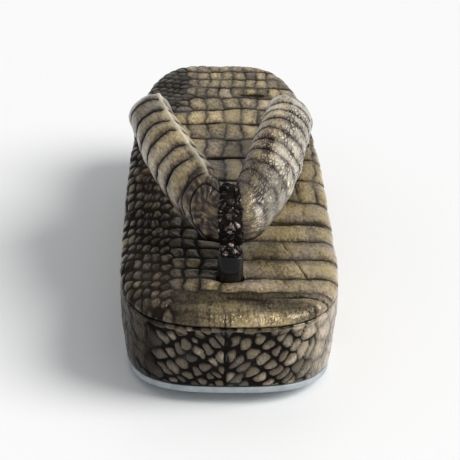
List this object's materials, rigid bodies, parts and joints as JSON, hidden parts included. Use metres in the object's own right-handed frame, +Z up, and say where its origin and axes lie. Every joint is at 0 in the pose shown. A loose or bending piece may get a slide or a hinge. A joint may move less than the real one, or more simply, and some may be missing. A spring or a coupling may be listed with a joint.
{
  "type": "zori sandal",
  "caption": "Thick-soled zori in scaled gold and black leather, with a cushioned footbed, a padded V strap on a toe thong and a thin pale outsole.",
  "frame": {"origin": "on the floor under the middle of the sandal's length and width", "axes": "+Y from toe to heel, +Z up, +X towards the outer edge when worn on the left foot"},
  "size_m": [0.09, 0.24, 0.0783],
  "materials": {
    "outsole": "pale grey smooth rubber sheet",
    "platform": "embossed scaled leather, antique gold tops and black grooves, soft gloss",
    "footbed": "embossed scaled leather, antique gold tops and black grooves, soft gloss",
    "strap": "embossed scaled leather over soft padding, pale gold with dark cross grooves",
    "toe_thong": "crumpled dark scaled leather",
    "thong_sleeve": "smooth black leather"
  },
  "bodies": {
    "root": {"outsole": "outsole", "platform": "platform", "footbed": "footbed", "strap": "strap", "toe_thong": "toe_thong", "thong_sleeve": "thong_sleeve"}
  },
  "joints": []
}
